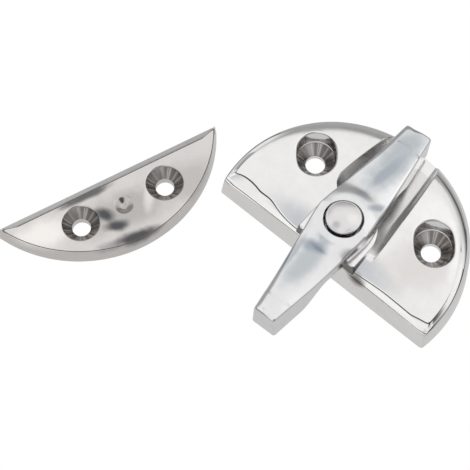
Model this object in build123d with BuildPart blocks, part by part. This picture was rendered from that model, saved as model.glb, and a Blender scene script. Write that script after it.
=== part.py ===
from build123d import *
from math import cos, pi, radians, sin, sqrt, tan
import os

# Round turn-button latch with a spring-loaded button, and the keeper plate that it closes over.
# Millimetres, +Z up. The origin is midway between the base's two screws, on the surface that it is
# screwed to. +X runs along the chord of the base, and +Y from the chord towards its round side.

# Base casting, seen from above
disc_r = 33.0           # radius of the round side
disc_y = -14.3          # centre of the round side
chord_y = -20.9         # foot of the straight front face
wall_draft = 3.0        # degrees, round side
front_draft = 9.5       # degrees, front face
crown_z = 10.6          # highest point of the top, over the screw line
crown_r_along = 67.0    # curve of the top from front to back
crown_r_across = 260.0  # curve of the top from side to side
crown_past = 10.0       # how far the crowned block reaches past the disc
arc_edge_r = 2.6        # rounding where the top meets the round side
front_edge_r = 1.4      # rounding where the top meets the front face

# Screws of the base
screw_spacing = 37.3
screw_hole_d = 5.0
sink_rim_d = 9.9        # mouth of the countersink, and the recess above it
sink_rim_z = 3.9
sink_angle = 90.0
screw_boss_d = 15.0

# Underside pockets of the base
pocket_z = 4.6
pocket_wall = 3.6
pocket_back_y = -3.2    # the pockets lie in front of the screws and of the channel
pocket_clear = 2.2      # metal left beside the pivot's socket

# Pivot of the button
pivot_y = -12.6
pad_d = 17.4            # raised pad that the button turns on
pad_z = 10.5
pad_draft = 8.0         # degrees that the pad's wall leans in
socket_floor_z = 3.6    # top of the web that the pin is riveted through
web_t = 2.0
barrel_d = 11.6
barrel_fit = 0.05       # radial, barrel in its bush
bush_wall = 0.55
bush_od = barrel_d + 2 * (barrel_fit + bush_wall)
bush_fit = 0.03         # radial, bush in its socket
bush_end_gap = 0.2

# Channel for the far foot
channel_floor_z = 4.4
channel_taper = 20.0    # degrees that each wall leans back
channel_start_y = -2.9  # its inner end, measured from the origin
channel_half_in = 8.4   # half width of the floor at the inner end
channel_half_out = 5.3  # half width of the floor at the round side
channel_corner_r = 3.0

# Button casting; u runs along it towards the far foot
button_yaw = 2.3        # degrees that it stands off square, anticlockwise
button_half = 31.3
tip_w = 6.5
waist_w = 14.9          # width that the straight sides reach at the pivot
waist_r = 38.0          # rounding of that widest point
foot_z = 6.0
foot_len = 9.2
arm_under_z = 11.4
underside_r = 5.0       # the two bends from the foot up to the arm
tip_top_z = 15.0
arm_top_z = 14.4        # lowest point of the arm's top
arm_dip_u = 16.5        # how far out that lowest point is
hub_z = 16.1            # flat crown round the pin's head
hub_crown_d = 13.6
washer_t = 0.5          # plastic washer under the hub
hub_washer_d = 13.8
button_edge_r = 0.5

# Pin, spring and washers
shank_d = 5.0
shank_fit = 0.06        # radial, barrel floor on the shank
head_d = 8.9
head_rim_z = 17.0
head_t = 1.6
head_dome = 0.9
head_bore_d = 9.9       # bore of the button round the head and the spring
barrel_floor_t = 1.2
barrel_end_gap = 0.4    # barrel to web
spring_washer_t = 0.6
spring_wire_d = 0.9
spring_od = 9.2
spring_turns = 3.5
spring_seat_gap = 0.02
rivet_washer_d = 10.0
rivet_washer_t = 0.8
rivet_head_d = 6.8
rivet_head_t = 0.55

# Keeper casting; its own frame has the centre of its round side at the origin, round side towards -Y
keeper_x, keeper_y = -68.65, -32.63
keeper_yaw = 69.22
keeper_r = 34.1
keeper_chord_y = -14.2
keeper_t = 5.2
keeper_edge_r = 0.9
keeper_bevel = 1.3      # along the chord's top edge
keeper_hole_y = -23.0
keeper_spacing = 23.4
keeper_hole_d = 4.7
keeper_rim_d = 9.3
keeper_rim_z = 4.5
dimple_y = -20.6
dimple_d = 4.6
dimple_depth = 0.9

os.makedirs("parts", exist_ok=True)

pivot = (0, pivot_y)
screws = [(-screw_spacing / 2, 0), (screw_spacing / 2, 0)]
tall = 3 * crown_z      # taller than anything that is cut


def chord_half(radius, offset):
    """Half the length of a chord that lies offset from the centre of a circle."""
    return sqrt(radius**2 - offset**2)


def sink_depth(rim_d, hole_d):
    """Depth of a countersink cone between its rim and its hole."""
    return (rim_d - hole_d) / 2 / tan(radians(sink_angle / 2))


# Base plate: a drafted disc under a crowned top, cut off by the front face
with BuildPart() as crown:
    # the top is a barrel: an arc from front to back, carried round a far axis along Y
    half_len = disc_r + crown_past
    rise = crown_r_along - sqrt(crown_r_along**2 - half_len**2)
    with BuildSketch(Plane.YZ):
        with BuildLine():
            top = ThreePointArc((-half_len, crown_z - rise), (0, crown_z), (half_len, crown_z - rise))
            Polyline(top @ 1, (half_len, -tall), (-half_len, -tall), top @ 0)
        make_face()
    swing = 2 * half_len / crown_r_across * 180 / pi
    axis = Axis((0, 0, crown_z - crown_r_across), (0, 1, 0))
    revolve(axis=axis, revolution_arc=swing / 2)
    mirror(about=Plane.YZ)

with BuildPart() as base_plate:
    with BuildSketch(Plane.XY):
        with Locations((0, disc_y)):
            Circle(disc_r)
    extrude(amount=tall / 2, taper=wall_draft)
    add(crown.part, mode=Mode.INTERSECT)
    lean = radians(front_draft)
    front = Plane(origin=(0, chord_y, 0), x_dir=(1, 0, 0), z_dir=(0, -cos(lean), sin(lean)))
    split(bisect_by=front, keep=Keep.BOTTOM)
    # its top edges: the curved one along the round side, then the one along the front
    rim = base_plate.faces().sort_by(Axis.Z)[-1].edges()
    front_edge = rim.sort_by(Axis.Y)[0]
    fillet([e for e in rim if e != front_edge], radius=arc_edge_r)
    top_face = base_plate.faces().sort_by(Axis.Z)[-1]
    fillet(top_face.edges().sort_by(Axis.Y)[0], radius=front_edge_r)

    # channel, from beside the pad out through the round side
    with BuildSketch(Plane.XY.offset(channel_floor_z)):
        with BuildLine():
            out_y = disc_y + disc_r
            edge = Polyline(
                (-channel_half_out, out_y + disc_r),
                (-channel_half_out, out_y),
                (-channel_half_in, channel_start_y),
                (channel_half_in, channel_start_y),
                (channel_half_out, out_y),
                (channel_half_out, out_y + disc_r),
                close=True,
            )
        make_face()
        fillet(vertices().group_by(Axis.Y)[0], radius=channel_corner_r)
    extrude(amount=tall / 2, taper=-channel_taper, mode=Mode.SUBTRACT)

    # raised pad round the pivot, carried forward to the front face
    pad_h = pad_z - pocket_z
    pad_lean = pad_h * tan(radians(pad_draft))
    pad_foot_d = pad_d + 2 * pad_lean
    with BuildSketch(Plane.XY.offset(pocket_z)):
        with Locations(pivot):
            Circle(pad_foot_d / 2)
        front_at_pad = chord_y + pad_z * tan(lean) - pad_lean
        with Locations((0, (pivot_y + front_at_pad) / 2)):
            Rectangle(pad_foot_d, pivot_y - front_at_pad)
        with Locations((0, front_at_pad - disc_r)):
            Rectangle(3 * disc_r, 2 * disc_r, mode=Mode.SUBTRACT)
    extrude(amount=pad_h, taper=pad_draft)

    # hollow underside, with solid bosses at the screws and the pivot and under the channel
    with BuildSketch(Plane.XY):
        with Locations((0, disc_y)):
            Circle(disc_r - pocket_wall)
        with Locations((0, chord_y + pocket_wall - disc_r)):
            Rectangle(3 * disc_r, 2 * disc_r, mode=Mode.SUBTRACT)
        with Locations((0, pocket_back_y + disc_r)):
            Rectangle(3 * disc_r, 2 * disc_r, mode=Mode.SUBTRACT)
        with Locations(pivot):
            Circle(bush_od / 2 + pocket_clear, mode=Mode.SUBTRACT)
            Rectangle(bush_od / 2, 3 * disc_r, mode=Mode.SUBTRACT)
        with Locations(*screws):
            Circle(screw_boss_d / 2, mode=Mode.SUBTRACT)
    extrude(amount=pocket_z, mode=Mode.SUBTRACT)

    # socket for the bush above the web, and room for the rivet below it
    with BuildSketch(Plane.XY.offset(socket_floor_z)):
        with Locations(pivot):
            Circle(bush_od / 2 + bush_fit)
    extrude(amount=tall, mode=Mode.SUBTRACT)
    with BuildSketch(Plane.XY):
        with Locations(pivot):
            Circle(rivet_washer_d / 2 + barrel_end_gap)
    extrude(amount=socket_floor_z - web_t, mode=Mode.SUBTRACT)
    with Locations((0, pivot_y, socket_floor_z)):
        Hole(shank_d / 2 + bush_fit)

    # screw holes: the recess, the cone and the hole
    for x, y in screws:
        with BuildSketch(Plane.XZ.offset(-y)):
            with BuildLine():
                cone_z = sink_rim_z - sink_depth(sink_rim_d, screw_hole_d)
                Polyline(
                    (x, -1),
                    (x + screw_hole_d / 2, -1),
                    (x + screw_hole_d / 2, cone_z),
                    (x + sink_rim_d / 2, sink_rim_z),
                    (x + sink_rim_d / 2, tall),
                    (x, tall),
                    close=True,
                )
            make_face()
        revolve(axis=Axis((x, y, 0), (0, 0, 1)), mode=Mode.SUBTRACT)
base_plate.part.label = "base_plate"

# Bush: the plastic liner of the socket
bush_top_z = pad_z - bush_end_gap
with BuildPart() as pivot_bush:
    with BuildSketch(Plane.XY.offset(socket_floor_z)):
        with Locations(pivot):
            Circle(bush_od / 2)
            Circle(barrel_d / 2 + barrel_fit, mode=Mode.SUBTRACT)
    extrude(amount=bush_top_z - socket_floor_z)
pivot_bush.part.label = "pivot_bush"

# Washer between the hub and the pad
with BuildPart() as hub_washer:
    with BuildSketch(Plane.XY.offset(pad_z)):
        with Locations(pivot):
            Circle(hub_washer_d / 2)
            Circle(barrel_d / 2 + barrel_fit, mode=Mode.SUBTRACT)
    extrude(amount=washer_t)
hub_washer.part.label = "hub_washer"

# Button: the plan outline, cut to its side profile, with the hub's crown and barrel added
yaw = radians(button_yaw)
along = (-sin(yaw), cos(yaw), 0)       # towards the far foot
across = (cos(yaw), sin(yaw), 0)
plan = Plane(origin=(0, pivot_y, 0), x_dir=across, z_dir=(0, 0, 1))
side = Plane(origin=(0, pivot_y, 0), x_dir=along, z_dir=across)
hub_under_z = pad_z + washer_t
foot_u = button_half - foot_len
rise_under = arm_under_z - foot_z

with BuildPart() as turn_button:
    with BuildSketch(plan.offset(foot_z)):
        with BuildLine():
            Polyline(
                (tip_w / 2, -button_half),
                (waist_w / 2, 0),
                (tip_w / 2, button_half),
                (-tip_w / 2, button_half),
                (-waist_w / 2, 0),
                (-tip_w / 2, -button_half),
                close=True,
            )
        make_face()
        waist = [v for v in vertices() if abs((v - Vector(0, pivot_y, 0)).Y) < waist_w / 4]
        fillet(waist, radius=waist_r)
    extrude(amount=hub_z - foot_z)
    with BuildSketch(side):
        with BuildLine():
            for end in (1, -1):
                # dished top of one arm, from the tip down and up to the hub's crown
                dish = ThreePointArc(
                    (end * button_half, tip_top_z),
                    (end * arm_dip_u, arm_top_z),
                    (end * hub_crown_d / 2, tip_top_z),
                )
                # underside from the hub to the foot, through two bends of one radius
                reach = sqrt(max(4 * underside_r * rise_under - rise_under**2, 0.0))
                middle = (end * (foot_u - reach / 2), foot_z + rise_under / 2)
                start = (end * (foot_u - reach), arm_under_z)
                finish = (end * foot_u, foot_z)
                upper = TangentArc(start, middle, tangent=(end, 0))
                lower = TangentArc(finish, middle, tangent=(-end, 0))
                Polyline(finish, (end * button_half, foot_z), dish @ 0)
                Polyline(dish @ 1, (end * hub_crown_d / 2, hub_z))
            Line((-hub_crown_d / 2, hub_z), (hub_crown_d / 2, hub_z))
            Line((-foot_u + reach, arm_under_z), (foot_u - reach, arm_under_z))
        make_face()
    extrude(amount=waist_w, both=True, mode=Mode.INTERSECT)
    tips = turn_button.edges().filter_by(Axis.Z).filter_by(lambda e: e.length > foot_len / 2)
    fillet(tips, radius=button_edge_r)
    # hub: a round foot on the washer, and the barrel below it
    with BuildSketch(plan.offset(hub_under_z)):
        Circle(waist_w / 2 - button_edge_r)
    extrude(amount=arm_under_z - hub_under_z)
    barrel_end_z = socket_floor_z + barrel_end_gap
    with BuildSketch(plan.offset(barrel_end_z)):
        Circle(barrel_d / 2)
    extrude(amount=hub_z - barrel_end_z)
    # bore for the spring and the head, and the hole for the shank
    spring_floor_z = barrel_end_z + barrel_floor_t
    with BuildSketch(plan.offset(spring_floor_z)):
        Circle(head_bore_d / 2)
    extrude(amount=tall, mode=Mode.SUBTRACT)
    with BuildSketch(plan):
        Circle(shank_d / 2 + shank_fit)
    extrude(amount=tall, mode=Mode.SUBTRACT)
turn_button.part.label = "turn_button"

# Washer under the spring
with BuildPart() as spring_washer:
    with BuildSketch(Plane.XY.offset(spring_floor_z)):
        with Locations(pivot):
            Circle(spring_od / 2)
            Circle(shank_d / 2 + shank_fit, mode=Mode.SUBTRACT)
    extrude(amount=spring_washer_t)
spring_washer.part.label = "spring_washer"

# Pin: domed head, shank, and the end that is set over the rivet washer
head_under_z = head_rim_z - head_t
web_under_z = socket_floor_z - web_t
rivet_z = web_under_z - rivet_washer_t
with BuildPart() as pivot_pin:
    with BuildSketch(Plane.XZ.offset(-pivot_y)):
        with BuildLine():
            rim_end = (head_d / 2, head_rim_z)
            crest = (0, head_rim_z + head_dome)
            dome = TangentArc(crest, rim_end, tangent=(1, 0))
            Polyline(
                rim_end,
                (head_d / 2, head_under_z),
                (shank_d / 2, head_under_z),
                (shank_d / 2, rivet_z),
                (rivet_head_d / 2, rivet_z),
                (rivet_head_d / 2, rivet_z - rivet_head_t),
                (0, rivet_z - rivet_head_t),
                crest,
            )
        make_face()
    revolve(axis=Axis((0, pivot_y, 0), (0, 0, 1)))
pivot_pin.part.label = "pivot_pin"

# Rivet washer
with BuildPart() as rivet_washer:
    with BuildSketch(Plane.XY.offset(rivet_z)):
        with Locations(pivot):
            Circle(rivet_washer_d / 2)
            Circle(shank_d / 2 + bush_fit, mode=Mode.SUBTRACT)
    extrude(amount=rivet_washer_t)
rivet_washer.part.label = "rivet_washer"

# Spring, between its washer and the underside of the head
spring_low_z = spring_floor_z + spring_washer_t + spring_wire_d / 2 + spring_seat_gap
spring_high_z = head_under_z - spring_wire_d / 2 - spring_seat_gap
spring_len = spring_high_z - spring_low_z
with BuildPart() as pivot_spring:
    with BuildLine():
        coil_r = (spring_od - spring_wire_d) / 2 - spring_seat_gap
        coil = Helix(
            pitch=spring_len / spring_turns,
            height=spring_len,
            radius=coil_r,
            center=(0, pivot_y, spring_low_z),
        )
    with BuildSketch(Plane(origin=coil @ 0, z_dir=coil % 0)):
        Circle(spring_wire_d / 2)
    sweep(is_frenet=True)
pivot_spring.part.label = "pivot_spring"

# Keeper plate
keeper = Plane(
    origin=(keeper_x, keeper_y, 0),
    x_dir=(cos(radians(keeper_yaw)), sin(radians(keeper_yaw)), 0),
    z_dir=(0, 0, 1),
)
keeper_half = chord_half(keeper_r, keeper_chord_y)
with BuildPart() as keeper_plate:
    with BuildSketch(keeper):
        with BuildLine():
            ends = (-keeper_half, keeper_chord_y), (keeper_half, keeper_chord_y)
            ThreePointArc(ends[0], (0, -keeper_r), ends[1])
            Line(ends[1], ends[0])
        make_face()
    extrude(amount=keeper_t)
    # the chord's bevel, then the rounding of the round side's top edge
    leaning = Plane(
        origin=keeper.from_local_coords((0, keeper_chord_y - keeper_bevel, keeper_t)),
        x_dir=keeper.x_dir,
        z_dir=keeper.y_dir + keeper.z_dir,
    )
    split(bisect_by=leaning, keep=Keep.BOTTOM)
    top_face = keeper_plate.faces().sort_by(Axis.Z)[-1]
    fillet(top_face.edges().filter_by(GeomType.CIRCLE), radius=keeper_edge_r)
    for x in (-keeper_spacing / 2, keeper_spacing / 2):
        hole_plane = Plane(
            origin=keeper.from_local_coords((x, keeper_hole_y, 0)),
            x_dir=keeper.x_dir,
            z_dir=-keeper.y_dir,
        )
        with BuildSketch(hole_plane):
            with BuildLine():
                cone_z = keeper_rim_z - sink_depth(keeper_rim_d, keeper_hole_d)
                Polyline(
                    (0, -1),
                    (keeper_hole_d / 2, -1),
                    (keeper_hole_d / 2, cone_z),
                    (keeper_rim_d / 2, keeper_rim_z),
                    (keeper_rim_d / 2, tall),
                    (0, tall),
                    close=True,
                )
            make_face()
        revolve(axis=Axis(hole_plane.origin, (0, 0, 1)), mode=Mode.SUBTRACT)
    ball_r = (dimple_depth**2 + (dimple_d / 2) ** 2) / (2 * dimple_depth)
    with Locations(keeper * Location((0, dimple_y, keeper_t + ball_r - dimple_depth))):
        Sphere(ball_r, mode=Mode.SUBTRACT)
keeper_plate.part.label = "keeper_plate"

for piece in (
    base_plate,
    pivot_bush,
    hub_washer,
    turn_button,
    spring_washer,
    pivot_pin,
    rivet_washer,
    pivot_spring,
    keeper_plate,
):
    export_step(piece.part, f"parts/{piece.part.label}.step")
    print(piece.part.label, round(piece.part.volume), "mm3")
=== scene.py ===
import math

import bpy
import bmesh
import numpy as np
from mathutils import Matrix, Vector
from mathutils.geometry import delaunay_2d_cdt


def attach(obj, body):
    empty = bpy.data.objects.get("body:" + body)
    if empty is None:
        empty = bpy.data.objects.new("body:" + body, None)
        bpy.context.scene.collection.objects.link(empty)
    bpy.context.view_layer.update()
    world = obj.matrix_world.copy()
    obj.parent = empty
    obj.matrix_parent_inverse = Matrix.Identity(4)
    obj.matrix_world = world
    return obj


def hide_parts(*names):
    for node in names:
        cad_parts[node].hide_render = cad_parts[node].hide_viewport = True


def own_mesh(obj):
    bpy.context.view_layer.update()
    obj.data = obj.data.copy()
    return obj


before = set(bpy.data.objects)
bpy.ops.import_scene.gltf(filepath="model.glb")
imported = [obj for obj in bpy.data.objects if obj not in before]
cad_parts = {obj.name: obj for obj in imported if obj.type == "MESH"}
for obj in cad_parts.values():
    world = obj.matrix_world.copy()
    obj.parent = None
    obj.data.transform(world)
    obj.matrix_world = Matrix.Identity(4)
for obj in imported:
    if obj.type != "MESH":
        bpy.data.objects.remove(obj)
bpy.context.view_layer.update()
mm = 0.001
print("frame loaded:", len(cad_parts), "nodes")

# Everything below is worked out in millimetres in the latch's own frame and scaled once, when a mesh is made.
pivot = (0.0, -12.6)        # the axis that the button turns about
lookWay = (-0.654, 0.756)   # the way the camera looks, seen from above


def ease(x, low, high):
    # 0 below low, 1 above high, smooth between
    s = np.clip((x - low) / (high - low), 0, 1)
    return s * s * (3 - 2 * s)


def softMin(a, b, soft):
    # the lower of two heights, with their meeting edge rounded over about soft millimetres
    h = np.clip(0.5 + 0.5 * (b - a) / soft, 0, 1)
    return b + (a - b) * h - soft * h * (1 - h)


def softMax(a, b, soft):
    # the higher of two heights, rounded over in the same way
    return -softMin(-a, -b, soft)


def byKind(kind, values):
    # one of five values for each column, by the kind of place it stands at
    return np.select([kind == k for k in range(5)], values)


def dShape(kind, frac, inset, corner, radius, chord):
    # outline of a disc cut by a straight chord, moved inwards by inset, with rounded corners:
    # 0 right half of the chord, 1 right corner, 2 round side, 3 left corner, 4 left half of the chord
    lift = chord + inset + corner
    reach = np.sqrt((radius - inset - corner) ** 2 - lift**2)
    lean = np.arctan2(lift, reach)
    turn = lean + math.pi / 2
    right = -math.pi / 2 + frac * turn
    left = math.pi - lean + frac * turn
    big = lean + frac * (math.pi - 2 * lean)
    front = chord + inset + 0 * frac
    x = byKind(kind, [frac * reach, reach + corner * np.cos(right), (radius - inset) * np.cos(big),
                      corner * np.cos(left) - reach, (frac - 1) * reach])
    y = byKind(kind, [front, lift + corner * np.sin(right), (radius - inset) * np.sin(big),
                      lift + corner * np.sin(left), front])
    return x, y


def stations(shape, chordRuns, arcDense, step):
    # where the columns of a D-shaped band stand: along half its chord in runs of (from, to, step), the last of which
    # goes on to the corner, and round its side in even steps, or closer where x is between arcDense's first two values
    radius, lift = shape["radius"], shape["chord"] + shape["corner"]
    reach = math.sqrt((radius - shape["corner"]) ** 2 - lift**2)
    along = np.concatenate([np.arange(a, (b or reach) - 0.3 * d, d) for a, b, d in chordRuns])
    lean = math.atan2(lift, reach)
    near, far, close = arcDense
    xs = np.concatenate([np.arange(far, near, -close), np.arange(near, -near, -0.4), np.arange(-near, -far, -close)])
    wide = math.acos(far / radius)
    angles = np.concatenate([np.arange(lean, wide - 0.3 * step, step), np.arccos(xs / radius),
                             np.arange(math.pi - wide, math.pi - lean - 0.3 * step, step)])
    cornerN = 26
    corner = np.arange(cornerN) / cornerN
    fracs = [along / reach, corner, (angles - lean) / (math.pi - 2 * lean), corner,
             1 - np.append(along[1:], reach)[::-1] / reach]
    kinds = [np.full(len(f), k) for k, f in enumerate(fracs)]
    return np.concatenate(kinds), np.concatenate(fracs)


def roundedProfile(knots, rounds, steps):
    # a polyline of (inset, height) knots with each inner knot rounded; rounds gives how much of the runs
    # before and after a knot its curve takes. Every knot is an array over the columns.
    rows = [knots[0]]
    for i in range(1, len(knots) - 1):
        before, at, after = knots[i - 1], knots[i], knots[i + 1]
        start = at + rounds[i - 1][0] * (before - at)
        stop = at + rounds[i - 1][1] * (after - at)
        for s in np.linspace(0, 1, steps[i - 1]):
            rows.append((1 - s) ** 2 * start + 2 * s * (1 - s) * at + s * s * stop)
    rows.append(knots[-1])
    return np.array(rows)


def band(points, flip=False):
    # a grid of points (rows, columns, 3) as a part: quads that face out when its columns run anticlockwise round a
    # closed loop and its rows run upwards
    rows, cols = points.shape[:2]
    i, j = np.meshgrid(np.arange(rows - 1), np.arange(cols), indexing="ij")
    k = (j + 1) % cols
    faces = np.stack([i * cols + j, i * cols + k, (i + 1) * cols + k, (i + 1) * cols + j], -1).reshape(-1, 4)
    return points.reshape(-1, 3), (faces[:, ::-1] if flip else faces)


def lifted(x, y, height):
    # points over (x, y) at a height that is a number, an array, or a function of x and y
    return np.stack([x, y, (height(x, y) if callable(height) else height) + 0 * x], -1)


def farFrom(points, centre, radius):
    # those points that lie farther than radius from a centre
    return points[np.hypot(*(points - centre).T) > radius]


def ring(centre, radius, count):
    # points evenly round a circle, anticlockwise
    a = np.arange(count) * 2 * math.pi / count
    return np.stack([centre[0] + radius * np.cos(a), centre[1] + radius * np.sin(a)], -1)


def lathe(centre, radii, heights, count, flip=False):
    # rings round a vertical axis, each with its own radius and height
    return band(np.array([lifted(*ring(centre, r, count).T, z) for r, z in zip(radii, heights)]), flip)


def insideLoop(points, loop):
    # even-odd test of many points against one closed loop
    x, y = points[:, 0][:, None], points[:, 1][:, None]
    ax, ay = loop[:, 0][None], loop[:, 1][None]
    bx, by = np.roll(loop[:, 0], -1)[None], np.roll(loop[:, 1], -1)[None]
    crosses = (ay > y) != (by > y)
    at = ax + (y - ay) * (bx - ax) / np.where(by == ay, 1, by - ay)
    return (crosses & (x < at)).sum(1) % 2 == 1


def sheet(outer, holes, inner, height, flip=False):
    # a flat net of triangles between one outer loop and some holes, then lifted to its height;
    # slivers, whose sides' cross product is next to nothing, are left out
    loops = [outer] + list(holes)
    inner = inner[insideLoop(inner, outer)]
    for hole in holes:
        inner = inner[~insideLoop(inner, hole)]
    edges, first = [], 0
    for loop in loops:
        edges += [(first + i, first + (i + 1) % len(loop)) for i in range(len(loop))]
        first += len(loop)
    flat = np.concatenate(loops + [inner])
    made = delaunay_2d_cdt([Vector(p) for p in flat.tolist()], edges, [], 0, 1e-7)
    at = np.array([tuple(v) for v in made[0]])
    tris = np.array([f for f in made[2] if len(f) == 3])
    mid = at[tris].mean(1)
    side1, side2 = at[tris[:, 1]] - at[tris[:, 0]], at[tris[:, 2]] - at[tris[:, 0]]
    keep = insideLoop(mid, outer) & (np.abs(side1[:, 0] * side2[:, 1] - side1[:, 1] * side2[:, 0]) > 3e-6)
    for hole in holes:
        keep &= ~insideLoop(mid, hole)
    tris = tris[keep]
    return lifted(*at.T, height), (tris[:, ::-1] if flip else tris)


def latticePoints(box, step):
    # a triangular lattice over a rectangle, given by two corners
    low, high = box
    xs = np.arange(low[0], high[0], step)
    ys = np.arange(low[1], high[1], step * 0.866)
    x, y = np.meshgrid(xs, ys)
    x = x + (np.arange(len(ys)) % 2)[:, None] * step / 2
    return np.stack([x.ravel(), y.ravel()], -1)


def makePiece(name, parts, materials, body, node, crease=32):
    # joins the parts (points, faces and, unless it is 0, the material's place) into one mesh: shared rims are merged,
    # and edges sharper than crease, in degrees, stay sharp
    verts, faces, slots, first = [], [], [], 0
    for v, f, *place in parts:
        verts.append(v)
        faces += (f + first).tolist()
        slots += (place or [0]) * len(f)
        first += len(v)
    mesh = bpy.data.meshes.new(name)
    mesh.from_pydata((np.concatenate(verts) * mm).tolist(), [], faces)
    mesh.polygons.foreach_set("material_index", slots)
    work = bmesh.new()
    work.from_mesh(mesh)
    bmesh.ops.remove_doubles(work, verts=work.verts, dist=2e-6)
    bmesh.ops.dissolve_degenerate(work, edges=work.edges, dist=1e-7)
    openEdges = sum(1 for e in work.edges if len(e.link_faces) != 2)
    work.to_mesh(mesh)
    work.free()
    mesh.polygons.foreach_set("use_smooth", np.ones(len(mesh.polygons), bool))
    mesh.set_sharp_from_angle(angle=math.radians(crease))
    for m in materials:
        mesh.materials.append(m)
    mesh.update()
    piece = bpy.data.objects.new(name, mesh)
    bpy.context.scene.collection.objects.link(piece)
    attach(piece, body)
    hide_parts(node)
    print(name, len(mesh.vertices), "points", len(mesh.polygons), "faces", openEdges, "open edges")
    return piece


def fill(node, tree, inputs):
    # gives each of a node's inputs its value, or links another node's output to it
    for socket, value in inputs.items():
        if isinstance(value, bpy.types.NodeSocket):
            tree.links.new(value, node.inputs[socket])
        else:
            node.inputs[socket].default_value = value


def nodeMaker(tree):
    # a function that adds a node to the tree, sets its options and fills its inputs
    def make(kind, inputs=None, **options):
        node = tree.nodes.new(kind)
        for key, value in options.items():
            setattr(node, key, value)
        fill(node, tree, inputs or {})
        return node
    return make


def newMaterial(name):
    # a material, and the function that makes its nodes
    material = bpy.data.materials.new(name)
    material.use_nodes = True
    return material, nodeMaker(material.node_tree)


def setShader(material, inputs):
    # fills the inputs of a material's Principled shader
    fill(material.node_tree.nodes["Principled BSDF"], material.node_tree, inputs)


def mixColour(make, factor, a, b):
    # a where the factor is 0, b where it is 1; each is a colour or another node's output
    return make("ShaderNodeMix", {"Factor": factor, "A": a, "B": b}, data_type="RGBA").outputs["Result"]


def addUp(make, value, factor, offset):
    # value times factor, plus offset
    return make("ShaderNodeMath", {0: value, 1: factor, 2: offset}, operation="MULTIPLY_ADD").outputs[0]


def mapped(make, value, low, high, toLow=0.0, toHigh=1.0, **options):
    # value carried over from the range low to high to the range toLow to toHigh, and held inside it
    return make("ShaderNodeMapRange", {"Value": value, "From Min": low, "From Max": high,
                                       "To Min": toLow, "To Max": toHigh}, **options).outputs[0]


def noise(make, vector, scale, detail, roughness):
    # a noise texture's value
    return make("ShaderNodeTexNoise", {"Vector": vector, "Scale": scale, "Detail": detail,
                                       "Roughness": roughness}).outputs[0]


def polishGroup():
    # hand polishing: slow waves left by the wheel, fine hairlines along one way, and a little haze. Roughness follows
    # 0.6 of the haze and 0.4 of the hairlines, height is the waves and 0.012 of the hairlines, and tone is the haze
    group = bpy.data.node_groups.new("polishMarks", "ShaderNodeTree")
    given = {"Wave Scale": 90.0, "Hairline Scale": 2600.0, "Low Roughness": 0.05, "High Roughness": 0.12}
    for name, value in given.items():
        group.interface.new_socket(name, in_out="INPUT", socket_type="NodeSocketFloat").default_value = value
    for name in ("Roughness", "Height", "Tone"):
        group.interface.new_socket(name, in_out="OUTPUT", socket_type="NodeSocketFloat")
    make = nodeMaker(group)
    source = make("NodeGroupInput").outputs
    place = make("ShaderNodeTexCoord").outputs["Object"]
    waves = noise(make, place, source["Wave Scale"], 2.0, 0.5)
    stretch = make("ShaderNodeMapping", {"Vector": place, "Rotation": (0, 0, 0.9), "Scale": (1, 0.06, 0.3)})
    lines = noise(make, stretch.outputs[0], source["Hairline Scale"], 3.0, 0.6)
    haze = noise(make, place, 260.0, 4.0, 0.65)
    both = addUp(make, lines, 0.4, addUp(make, haze, 0.6, 0.0))
    rough = mapped(make, both, 0.35, 0.7, source["Low Roughness"], source["High Roughness"])
    make("NodeGroupOutput", {"Roughness": rough, "Height": addUp(make, lines, 0.012, waves),
                             "Tone": mapped(make, haze, 0.3, 0.75, 0.96, 1.0)})
    return group


polish = polishGroup()


def steel(name, colour, low, high, wave=90.0, hair=2600.0, bump=0.05, depth=0.0002, paintedLightPatches=(), level=0.0):
    # bare stainless steel with its polishing marks; the patches are painted reflections, highlights and shade: soft
    # places of another colour, each (x, y, reach along its own length, reach across, degrees, colour, strength),
    # broken up by the wheel's waves: a patch's strength falls smoothly to nothing where its distance in reaches, and
    # 0.7 of a noise, go from 0.58 to 1.2. They lie at a height of level, and fade within 5 mm above and below it
    material, make = newMaterial(name)
    marks = make("ShaderNodeGroup", {"Wave Scale": wave, "Hairline Scale": hair, "Low Roughness": low,
                                     "High Roughness": high}, node_tree=polish).outputs
    dull = tuple(0.93 * c for c in colour)
    seen = mixColour(make, mapped(make, marks["Tone"], 0.96, 1.0), dull + (1,), colour + (1,))
    if paintedLightPatches:
        place = make("ShaderNodeTexCoord").outputs["Object"]
        broken = noise(make, place, 170.0, 3.0, 0.55)
    # each patch mixes its colour of painted reflection, highlight or shade over the steel
    for x, y, along, across, degrees, shade, strength in paintedLightPatches:
        local = make("ShaderNodeMapping", {"Vector": place, "Location": (x * mm, y * mm, level * mm),
                                           "Rotation": (0, 0, math.radians(degrees)),
                                           "Scale": (along * mm, across * mm, 5 * mm)}, vector_type="TEXTURE")
        far = make("ShaderNodeVectorMath", {0: local.outputs[0]}, operation="LENGTH").outputs["Value"]
        uneven = addUp(make, broken, 0.7, far)
        amount = mapped(make, uneven, 0.58, 1.2, strength, 0.0, interpolation_type="SMOOTHSTEP")
        seen = mixColour(make, amount, seen, shade + (1,))
    dent = make("ShaderNodeBump", {"Strength": bump, "Distance": depth, "Height": marks["Height"]})
    setShader(material, {"Metallic": 1.0, "Base Color": seen, "Roughness": marks["Roughness"],
                         "Normal": dent.outputs[0]})
    return material


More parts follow.
